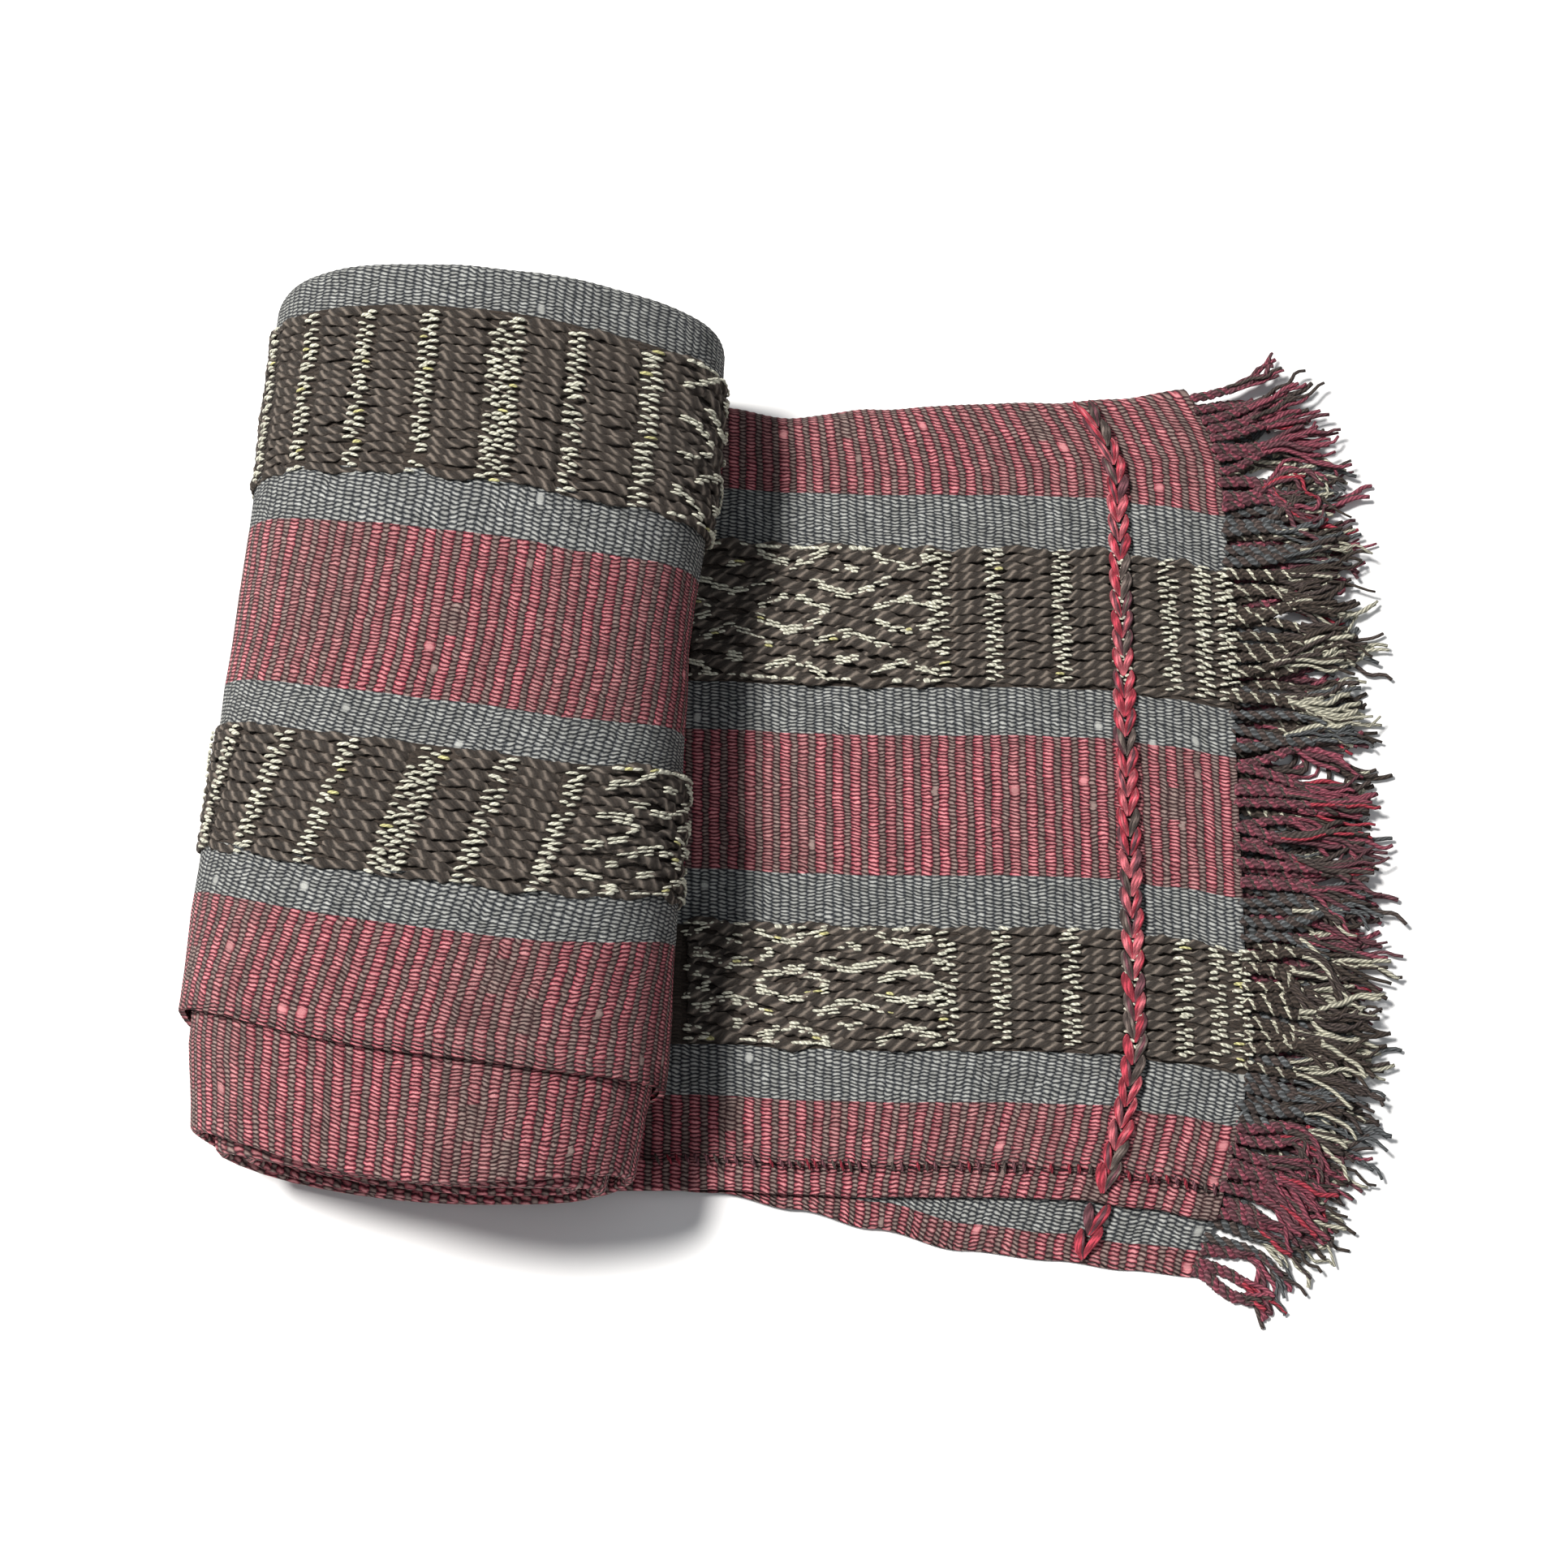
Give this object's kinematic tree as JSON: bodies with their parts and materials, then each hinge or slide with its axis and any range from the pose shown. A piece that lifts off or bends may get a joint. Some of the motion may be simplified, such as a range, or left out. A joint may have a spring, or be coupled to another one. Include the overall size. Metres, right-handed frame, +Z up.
{
  "type": "rolled throw blanket",
  "caption": "Thick striped woven throw, folded in four along its length and rolled up from one end, with the fringed end lying flat.",
  "frame": {"origin": "middle of the bounding box in plan, on the surface that the throw rests on", "axes": "+X along the cloth from the roll to the fringe, +Y from the near long fold to the far one, +Z up"},
  "size_m": [0.5128, 0.4327, 0.1167],
  "materials": {
    "red_stripe_cloth": "matte ribbed cotton weave",
    "grey_stripe_cloth": "matte ribbed cotton weave",
    "chain_yarn": "matte thick twisted yarn",
    "fringe_yarn": "matte twisted warp ends"
  },
  "bodies": {
    "root": {"panel_one": "red_stripe_cloth", "panel_two": "grey_stripe_cloth", "chain_row_top": "chain_yarn", "chain_row_edge": "chain_yarn", "fringe_top": "fringe_yarn", "fringe_upper": "fringe_yarn", "fringe_lower": "fringe_yarn", "fringe_floor": "fringe_yarn"}
  },
  "joints": []
}
